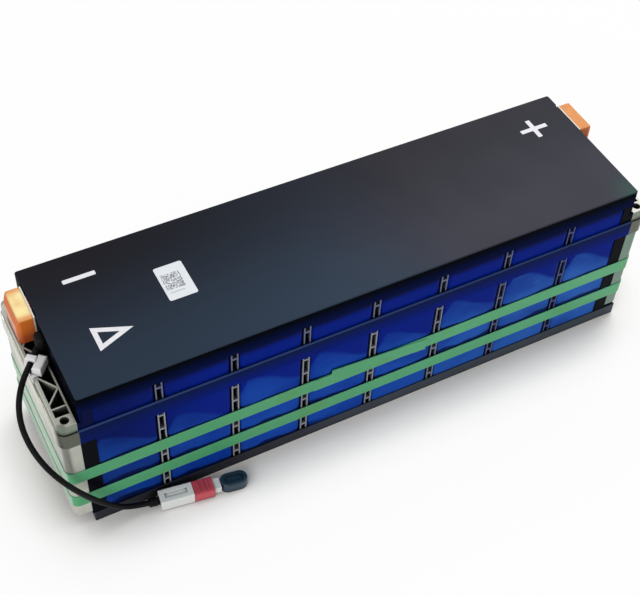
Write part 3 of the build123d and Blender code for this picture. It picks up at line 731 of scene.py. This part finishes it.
def film_point(middle, side, across, level):
    """A point of the film: across runs -1 to 1 over the flat face and past it round the corners."""
    turn = max(0.0, abs(across) - 1) * math.pi / 2
    lean = math.copysign(1, across)
    share = max(-1.0, min(1.0, across))
    swell = (1 - share ** 4) * math.sin(math.pi * level)
    place = (middle * RIPPLE_CELL + share * RIPPLES_ACROSS, side * RIPPLE_SIDE, level * RIPPLES_UP)
    ripple = noise.noise(Vector(place)) * FILM_RIPPLE * (1 - abs(share) ** 6)
    proud = FILM_GAP * math.cos(turn) + FILM_BELLY * swell + ripple
    radius = FILM_CORNER + max(proud, FILM_LEAST * math.cos(turn))
    x = middle + share * (CELL_HALF - FILM_CORNER) + lean * radius * math.sin(turn)
    y = CELL_FACE - FILM_CORNER + radius * math.cos(turn)
    return (x, side * y, FILM_LOW + level * (FILM_HIGH - FILM_LOW))


def add_film(cell, side, material):
    """A sheet of film over one long face of a cell, with its slight bulge and ripples."""
    low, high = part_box(cell)
    middle = (low.x + high.x) / 2
    corners = [1 + (i + 1) / FILM_ARC for i in range(FILM_ARC)]
    flat = [-1 + 2 * i / FILM_COLUMNS for i in range(FILM_COLUMNS + 1)]
    stations = [-c for c in reversed(corners)] + flat + corners
    mesh = bmesh.new()
    rows = []
    for k in range(FILM_ROWS + 1):
        points = [film_point(middle, side, across, k / FILM_ROWS) for across in stations]
        rows.append([mesh.verts.new(point) for point in points])
    for lower, upper in zip(rows, rows[1:]):
        for i in range(len(stations) - 1):
            mesh.faces.new((lower[i], lower[i + 1], upper[i + 1], upper[i]))
    bmesh.ops.recalc_face_normals(mesh, faces=list(mesh.faces))
    if sum(face.normal.y for face in mesh.faces) * side < 0:
        bmesh.ops.reverse_faces(mesh, faces=list(mesh.faces))
    for face in mesh.faces:
        face.smooth = True
    add_piece(f"film_{cell}_{'front' if side < 0 else 'back'}", mesh, material)


# ---- Sampling cable ------------------------------------------------------------------------------
CABLE_DIAMETER = 0.006
CABLE_ROUTE = [
    (-0.3398, -0.0064, 0.1820),
    (-0.3485, -0.0166, 0.1820),
    (-0.3580, -0.0282, 0.1770),
    (-0.3655, -0.0400, 0.1670),
    (-0.3690, -0.0540, 0.1525),
    (-0.3670, -0.0710, 0.1380),
    (-0.3600, -0.0880, 0.1240),
    (-0.3485, -0.0985, 0.1050),
    (-0.3345, -0.1015, 0.0800),
    (-0.3185, -0.1010, 0.0535),
    (-0.3005, -0.0998, 0.0290),
    (-0.2830, -0.0988, 0.0155),
    (-0.2670, -0.0984, 0.0105),
]


def add_cable(material):
    """The sampling cable: one smooth spline from the clip down to its connector."""
    curve = bpy.data.curves.new("sampling_cable", "CURVE")
    curve.dimensions = "3D"
    curve.bevel_depth = CABLE_DIAMETER / 2
    curve.bevel_resolution = 8
    spline = curve.splines.new("NURBS")
    spline.points.add(len(CABLE_ROUTE) - 1)
    for point, place in zip(spline.points, CABLE_ROUTE):
        point.co = (*place, 1)
    spline.order_u = 3
    spline.use_endpoint_u = True
    spline.resolution_u = 10
    cable = placed("sampling_cable", curve)
    curve.materials.append(material)
    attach(cable, "root")
    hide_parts("harness_cable")


# ---- Dressing the CAD nodes ----------------------------------------------------------------------
def all_materials():
    """One material for each slot of the record, and two for what is printed and stuck on."""
    busbar = (paint(220, 221, 220), paint(190, 191, 190))
    copper = (paint(226, 170, 130), paint(198, 130, 92))
    screw = (paint(208, 208, 204), paint(160, 160, 158))
    return {
        "cover_black": cover_plastic(),
        "cell_film": cell_film(),
        "spacer_grey": spacer_plastic(),
        "tray_black": tray_plastic(),
        "band_steel": band_steel(),
        "strap_green": strap_green(),
        "plate_aluminium": end_plate_metal(),
        "busbar_aluminium": extruded("busbar_aluminium", *busbar, 0.9, 0.3),
        "insulator_black": insulator_plastic(),
        "base_white": moulded("base_white", paint(230, 230, 220), 0.4, reach=0.004),
        "cap_orange": cap_plastic(),
        "carrier_plastic": moulded("carrier_plastic", paint(206, 206, 200), 0.5),
        "circuit_film": moulded("circuit_film", paint(196, 128, 52), 0.35),
        "output_copper": extruded("output_copper", *copper, 0.9, 0.3),
        "screw_steel": extruded("screw_steel", *screw, 0.9, 0.3),
        "rubber_black": moulded("rubber_black", paint(22, 22, 25), 0.55, specular=0.12, wear=0.12),
        "clip_white": moulded("clip_white", paint(244, 244, 244), 0.4, reach=0.004),
        "cable_jacket": jacket(),
        "connector_white": moulded("connector_white", paint(236, 238, 236), 0.35, reach=0.004),
        "lock_red": moulded("lock_red", paint(206, 78, 92), 0.35),
        "cap_teal": moulded("cap_teal", paint(30, 56, 76), 0.3),
        "print_white": print_white(),
        "sticker_white": sticker_paper(),
    }


def dress_nodes(materials):
    """Each CAD node takes the finish of its slot in the record."""
    for part in frame["record"]["subparts"]:
        for slot in NODES[part["node"]].material_slots:
            slot.material = materials[part["material_slot"]]


# ---- Floor, light and camera ---------------------------------------------------------------------
FLOOR_HALF = 14.0
FLOOR_DROP = 0.0002
FLOOR_SHADOW_REACH = 0.088
FLOOR_GLOW = 0.945                      # of the open floor, for a white background
WORLD_STRENGTH = 0.55
LAMPS = [
    # name, place, aim, size, power in watts
    ("key", (1.5, 1.1, 2.1), (0, 0, 0.1), (1.4, 1.0), 30),
    ("fill", (-1.9, -1.6, 1.3), (0, 0, 0.1), (1.6, 1.2), 20),
    ("strip", (-0.15, 1.45, 1.8), (-0.2, 0, 0.2), (0.3, 0.12), 3),
]
CAMERA_LENS = 71.25
CAMERA_PLACE = (-0.4707, -0.7860, 1.1577)
CAMERA_RIGHT = Vector((0.88716, -0.45989, 0.03802))
CAMERA_UP = Vector((0.32579, 0.68256, 0.65419))


def floor_finish():
    """Pale floor that keeps the module's shadow and looks white to the camera and in gloss, with a painted
    contact shadow where ambient occlusion dims its glow.
    """
    finish = Finish("floor", 0.8, specular=0.1)
    finish.colour(finish.mix(finish.noise(3, 3), paint(238, 236, 233), paint(243, 241, 238)))
    path = finish.add("LightPath").outputs
    seen = finish.math("MAXIMUM", path["Is Camera Ray"], path["Is Glossy Ray"])
    seen = finish.math("MAXIMUM", seen, path["Is Transmission Ray"])
    # Painted contact shadow: the glow fades where ambient occlusion finds the module close.
    occlusion = finish.add("AmbientOcclusion", samples=8)
    finish.set(occlusion, "Distance", FLOOR_SHADOW_REACH)
    open_floor = finish.ramp(occlusion.outputs["AO"], 0.52, 0.97, 0.0, FLOOR_GLOW)
    glow = finish.add("Emission")
    finish.set(glow, "Color", (1, 1, 1, 1))
    finish.set(glow, "Strength", 1.0)
    blend = finish.add("MixShader")
    finish.set(blend, 0, finish.times(seen, open_floor))
    finish.tree.links.new(finish.shader.outputs[0], blend.inputs[1])
    finish.tree.links.new(glow.outputs[0], blend.inputs[2])
    surface = finish.tree.nodes["Material Output"].inputs["Surface"]
    finish.tree.links.new(blend.outputs[0], surface)
    return finish.material


def add_floor():
    mesh = bpy.data.meshes.new("floor")
    span = (-FLOOR_HALF, FLOOR_HALF)
    corners = [(x, y, -FLOOR_DROP) for x, y in rectangle(span, span)]
    mesh.from_pydata(corners, [], [(0, 1, 2, 3)])
    mesh.materials.append(floor_finish())
    placed("floor", mesh)


def add_world():
    world = bpy.data.worlds.new("studio")
    world.use_nodes = True
    background = world.node_tree.nodes["Background"]
    background.inputs["Color"].default_value = (1, 1, 1, 1)
    background.inputs["Strength"].default_value = WORLD_STRENGTH
    bpy.context.scene.world = world


def add_lamp(name, place, aim, size, power):
    light = bpy.data.lights.new(name, "AREA")
    light.shape = "RECTANGLE"
    light.size, light.size_y = size
    light.energy = power
    lamp = placed(name, light)
    lamp.location = place
    lamp.rotation_euler = (Vector(aim) - Vector(place)).to_track_quat("-Z", "Y").to_euler()


def add_camera():
    """The camera at the photo's place and viewing angle."""
    camera = placed("camera", bpy.data.cameras.new("camera"))
    camera.data.lens = CAMERA_LENS
    camera.data.clip_start = 0.05
    camera.data.clip_end = 60
    back = CAMERA_RIGHT.cross(CAMERA_UP).normalized()
    up = back.cross(CAMERA_RIGHT).normalized()
    turn = Matrix((CAMERA_RIGHT.normalized(), up, back)).transposed()
    camera.matrix_world = Matrix.Translation(CAMERA_PLACE) @ turn.to_4x4()
    bpy.context.scene.camera = camera


# ---- The scene -----------------------------------------------------------------------------------
add_camera()
materials = all_materials()
add_cable(materials["cable_jacket"])
dress_nodes(materials)
for cell in CELLS:
    for side in (-1, 1):
        add_film(cell, side, materials["cell_film"])
add_marks(materials["print_white"], materials["sticker_white"])
add_strap_lap(materials["strap_green"])
add_floor()
add_world()
for lamp in LAMPS:
    add_lamp(*lamp)
bpy.context.scene.view_settings.view_transform = "Standard"
